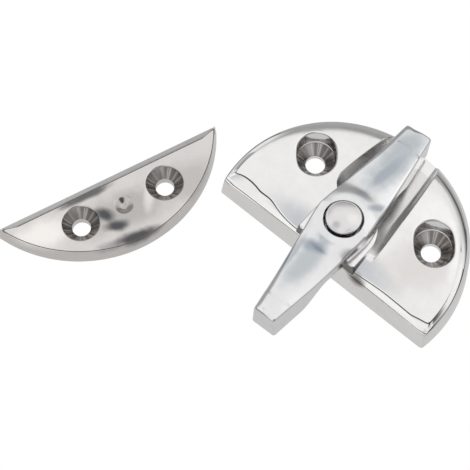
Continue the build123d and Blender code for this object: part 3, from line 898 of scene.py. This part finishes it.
def makeSpring():
    # a wire carried along a helix: at turn t its middle is (r cos 2 pi t, r sin 2 pi t, rising evenly), and its
    # circle stands square to the helix
    s = spring
    rise = s["highZ"] - s["lowZ"]
    t = np.linspace(0, s["turns"], s["steps"] + 1)[:, None]
    a = 2 * math.pi * t
    climb = rise / (2 * math.pi * s["turns"])
    size = math.hypot(s["coilR"], climb)
    outward = np.concatenate([np.cos(a), np.sin(a), 0 * a], 1)
    ahead = np.concatenate([-s["coilR"] * np.sin(a), s["coilR"] * np.cos(a), climb + 0 * a], 1) / size
    upward = np.cross(ahead, outward)
    middle = s["coilR"] * outward + np.concatenate([0 * a, 0 * a, s["lowZ"] + rise * t / s["turns"]], 1)
    middle += (*s["pivot"], 0)
    sides = np.arange(s["sides"])
    around = (sides * 2 * math.pi / s["sides"])[None, :, None]
    grid = middle[:, None] + s["wireR"] * (np.cos(around) * outward[:, None] + np.sin(around) * upward[:, None])
    parts = [band(grid), (grid[0], sides[None, ::-1]), (grid[-1], sides[None])]
    piece = makePiece("pivotSpringCoil", parts, [springSteel], "spring_seat", "pivot_spring")
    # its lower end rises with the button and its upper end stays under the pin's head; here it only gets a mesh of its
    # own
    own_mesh(piece)


makeSpring()


keeper = {
    "centre": (-68.65, -32.63), "yaw": 69.22,
    "radius": 34.1, "chord": 14.2, "corner": 0.25, "topZ": 5.2,
    "holeX": 11.7, "holeY": -23.0, "holeR": 2.35, "rimR": 4.6, "rimRound": 0.4, "rimZ": 4.2, "landZ": 2.1,
    "flatDrop": 0.32, "belly": 0.0035, "ridgeRise": 0.42, "ridgeReach": 1.1,
    "dimpleY": -23.6, "dimpleR": 2.7, "dimpleDepth": 1.0, "sag": 0.1, "sagReach": 6.5,
    "box": ((-33, -35), (33, -14)),
}


def keeperTop(x, y):
    # nearly flat, rising in a fillet to the ridge along the chord, and pulled in round the small dimple
    k = keeper
    r = np.hypot(x, y - k["dimpleY"])
    dish = -k["dimpleDepth"] * (1 - ease(r, 0.5, k["dimpleR"]))
    sag = -k["sag"] * np.exp(-((np.hypot(x, 0.8 * (y - k["dimpleY"])) / k["sagReach"]) ** 2))
    ridge = k["ridgeRise"] * np.exp(-np.maximum(-k["chord"] - 1.0 - y, 0) / k["ridgeReach"])
    return k["topZ"] - k["flatDrop"] + ridge + sag - k["belly"] * (y - k["holeY"]) ** 2 + dish


def makeKeeper():
    # a band of sections round the D shape, a sheet over the top, two countersunk holes and a flat foot, all made in
    # the plate's own frame and placed at the end
    k = keeper
    turn = math.radians(k["yaw"])

    def place(points):
        # turned about Z and moved to where the plate lies
        x, y = points[..., 0], points[..., 1]
        out = points.copy()
        out[..., 0] = k["centre"][0] + x * math.cos(turn) - y * math.sin(turn)
        out[..., 1] = k["centre"][1] + x * math.sin(turn) + y * math.cos(turn)
        return out

    kind, frac = stations(k, [(0, None, 0.3)], (2.0, 4.0, 0.2), 0.006)
    one = np.ones(len(kind))

    def at(inset, corner):
        # the D shape turned half round, so that its round side faces -Y
        x, y = dShape(kind, frac, inset * one, corner * one, k["radius"], k["chord"])
        return -x, -y

    chord = byKind(kind, [one, 1 - ease(frac, 0.0, 0.9), 0 * one, ease(frac, 0.1, 1.0), one])

    def mix(chordValue, arcValue):
        # a column's own share of the values for the chord and for the round side
        return chord * chordValue + (1 - chord) * arcValue

    d1, z1 = mix(0.25, 0.3), mix(3.3, 3.9)
    d2, z2 = mix(0.3, 0.34), mix(3.65, 4.6)
    d3 = mix(2.1, 0.45)
    d4 = d3 + 0.75
    z3, z4 = keeperTop(*at(d3, 0.5)), keeperTop(*at(d4, 0.6))
    knots = [np.stack(q) for q in ((0 * one, 0 * one), (d1, z1), (d2, z2), (d3, z3), (d4, z4))]
    rounds = ((mix(0.05, 0.05), mix(0.2, 0.1)), (mix(0.3, 0.8), mix(0.12, 0.6)), (mix(0.12, 0.2), mix(0.2, 0.4)))
    profile = roundedProfile(knots, rounds, (5, 11, 5))
    grid = []
    for d, z in profile:
        x, y = at(d, k["corner"] + 0.15 * d)
        grid.append(lifted(x, y, np.where(d >= d3 + 0.2, keeperTop(x, y), z)))
    grid[-1][:, 2] = keeperTop(grid[-1][:, 0], grid[-1][:, 1])
    # a fine line of painted shade sets the rim off from the flat: one narrow dark row between two close ones
    close = [lifted(*at(d, corner), keeperTop) for d, corner in ((d3 + 0.06, 0.7), (d3 + 0.3, 0.75))]
    grid = np.array(grid[:-5] + close + grid[-1:])
    points, faces = band(grid)
    row, column = np.divmod(np.arange(len(faces)), len(kind))
    dark = row == len(grid) - 3
    bevel = (chord[column] > 0.5) & (row > 4) & (row < len(grid) - 4)
    parts = [(points, faces[~dark & ~bevel]), (points, faces[dark], 2), (points, faces[bevel], 3)]
    rim = grid[-1][:, :2]
    centres = [(s * k["holeX"], k["holeY"]) for s in (-1, 1)]
    soft = k["rimRound"]
    holes = [ring(c, k["rimR"] + soft, 132) for c in centres]
    inner = [latticePoints(k["box"], 1.0)]
    inner += [ring((0, k["dimpleY"]), r, 60) for r in (0.4, 0.8, 1.2, 1.6, 2.0, 2.3, 2.6, 2.9)]
    inner += [ring(c, k["rimR"] + 0.7, 100) for c in centres]
    points = np.concatenate(inner)
    points = points[insideLoop(points, np.stack(at(2.5, 0.9), -1))]
    for c in centres:
        points = farFrom(points, c, k["rimR"] + 0.6)
    parts.append(sheet(rim, holes, points, keeperTop))
    t = np.linspace(0, math.pi / 2, 5)
    radii = [*(k["rimR"] + soft * (1 - np.sin(t))), k["rimR"]]
    heights = [(lambda x, y, drop=drop: keeperTop(x, y) - drop) for drop in soft * (1 - np.cos(t))]
    for c in centres:
        parts.append(lathe(c, radii, heights + [k["rimZ"]], 132, flip=True))
        parts.append(lathe(c, [k["rimR"], 3.5, k["holeR"] + 0.06, k["holeR"]],
                           [k["rimZ"], k["rimZ"] - 1.15, k["landZ"] + 0.06, k["landZ"]], 132, flip=True) + (1,))
        parts.append(lathe(c, [k["holeR"], k["holeR"]], [k["landZ"], 0], 132, flip=True))
    openings = [ring(c, k["holeR"], 132) for c in centres]
    parts.append(sheet(grid[0][:, :2], openings, latticePoints(k["box"], 3.0), 0.0, flip=True))
    parts = [(place(points), *rest) for points, *rest in parts]
    cones = countersunk("keeperCones", [place(np.array(c))[:2] for c in centres],
                        (0.20, 0.185, 0.175), (0.76, 0.72, 0.69))
    makePiece("keeperPlateCasting", parts, [keeperSteel, cones, paintedShadeLine, bevelSteel],
              "keeper", "keeper_plate")


makeKeeper()

# the small parts keep their solids, with better finishes
finishes = {"rivet_washer": plainSteel, "spring_washer": plainSteel,
            "pivot_bush": blackPlastic, "hub_washer": blackPlastic}
for nodeName, finish in finishes.items():
    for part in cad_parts[nodeName].material_slots:
        part.material = finish
print("small parts finished")


studio = {
    "floorHalf": 3.0, "floorDrop": 0.0002,
    "floorSeen": 1.0, "floorNear": 0.63, "floorFar": 0.42, "fadeFrom": 0.022, "fadeTo": 0.034,
    # tone of the tent by height, from 0 straight down through 0.5 at the horizon to 1 straight up
    "heights": [(0.0, 0.6), (0.49, 0.55), (0.5, 0.05), (0.55, 0.12),
                (0.62, 0.5), (0.74, 0.86), (0.9, 0.97), (1.0, 0.97)],
    # soft cards round the tent: bearing and height in degrees, full and outer half width, and tone;
    # a bearing of 0 is straight past the latch as the camera looks, and 90 is to its right
    "cards": [(0, 2, 16, 44, (0.38, 0.38, 0.38)), (-45, 20, 8, 32, (0.44, 0.44, 0.45)),
              (24, 16, 5, 20, (0.36, 0.36, 0.37)), (-85, 74, 3, 12, (0.62, 0.65, 0.68)),
              (55, 58, 6, 20, (1.1, 1.1, 1.1)), (150, 48, 10, 30, (0.14, 0.13, 0.13)),
              (-118, 50, 6, 24, (1.05, 1.05, 1.05))],
    "lens": 139.4, "sensor": 36, "eye": (99.72, -167.93, 414.93), "aim": (-21.695, -27.552, 0),
}


def makeFloor():
    # a pale table that glows evenly, so that it throws no shadow; where the metal mirrors it, it is dimmer, and
    # dimmer still from fadeFrom to fadeTo along the way the camera looks: painted shade of the table round the latch
    mesh = bpy.data.meshes.new("floor")
    half = studio["floorHalf"]
    mesh.from_pydata([(-half, -half, 0), (half, -half, 0), (half, half, 0), (-half, half, 0)], [], [(0, 1, 2, 3)])
    floor = bpy.data.objects.new("floor", mesh)
    bpy.context.scene.collection.objects.link(floor)
    floor.location.z = -studio["floorDrop"]
    material, make = newMaterial("paleTable")
    material.node_tree.nodes.clear()
    place = make("ShaderNodeTexCoord").outputs["Object"]
    away = make("ShaderNodeVectorMath", {0: place, 1: (*lookWay, 0)}, operation="DOT_PRODUCT").outputs["Value"]
    fade = mapped(make, away, studio["fadeFrom"], studio["fadeTo"], studio["floorNear"], studio["floorFar"])
    direct = make("ShaderNodeLightPath").outputs["Is Camera Ray"]
    level = mapped(make, direct, 0.0, 1.0, fade, studio["floorSeen"])
    make("ShaderNodeOutputMaterial", {"Surface": make("ShaderNodeEmission", {"Strength": level}).outputs[0]})
    mesh.materials.append(material)


def makeStudio():
    # a soft tent: bright overhead, darker towards the horizon, with soft cards as spots of another tone, each full
    # within its inner angle from its own way and gone outside its outer angle
    world = bpy.data.worlds.new("studio")
    bpy.context.scene.world = world
    world.use_nodes = True
    world.node_tree.nodes.clear()
    make = nodeMaker(world.node_tree)
    place = make("ShaderNodeTexCoord").outputs["Generated"]
    height = make("ShaderNodeSeparateXYZ", {0: place}).outputs["Z"]
    ramp = make("ShaderNodeValToRGB", {0: addUp(make, height, 0.5, 0.5)})
    stops = ramp.color_ramp.elements
    while len(stops) < len(studio["heights"]):
        stops.new(0.5)
    for stop, (at, level) in zip(stops, studio["heights"]):
        stop.position = at
        stop.color = (level, level, level, 1)
    colour = ramp.outputs[0]
    lookX, lookY = lookWay
    for bearing, height, inner, outer, tone in studio["cards"]:
        turn, rise = math.radians(bearing), math.radians(height)
        toward = Vector((lookX * math.cos(turn) + lookY * math.sin(turn),
                         lookY * math.cos(turn) - lookX * math.sin(turn), 0))
        toward = toward * math.cos(rise) + Vector((0, 0, math.sin(rise)))
        near = make("ShaderNodeVectorMath", {0: place, 1: toward}, operation="DOT_PRODUCT").outputs["Value"]
        spot = mapped(make, near, math.cos(math.radians(outer)), math.cos(math.radians(inner)),
                      interpolation_type="SMOOTHSTEP")
        colour = mixColour(make, spot, colour, tone + (1,))
    back = make("ShaderNodeBackground", {"Color": colour, "Strength": 1.0})
    make("ShaderNodeOutputWorld", {"Surface": back.outputs[0]})


def makeCamera():
    # where the photograph was taken from, a long lens looking down at about 66 degrees
    data = bpy.data.cameras.new("camera")
    data.lens = studio["lens"]
    data.sensor_width = studio["sensor"]
    camera = bpy.data.objects.new("camera", data)
    bpy.context.scene.collection.objects.link(camera)
    camera.location = Vector(studio["eye"]) * mm
    aim = Vector(studio["aim"]) * mm - camera.location
    camera.rotation_euler = aim.to_track_quat("-Z", "Y").to_euler()
    bpy.context.scene.camera = camera


makeFloor()
makeStudio()
makeCamera()
bpy.context.scene.view_settings.view_transform = "Standard"
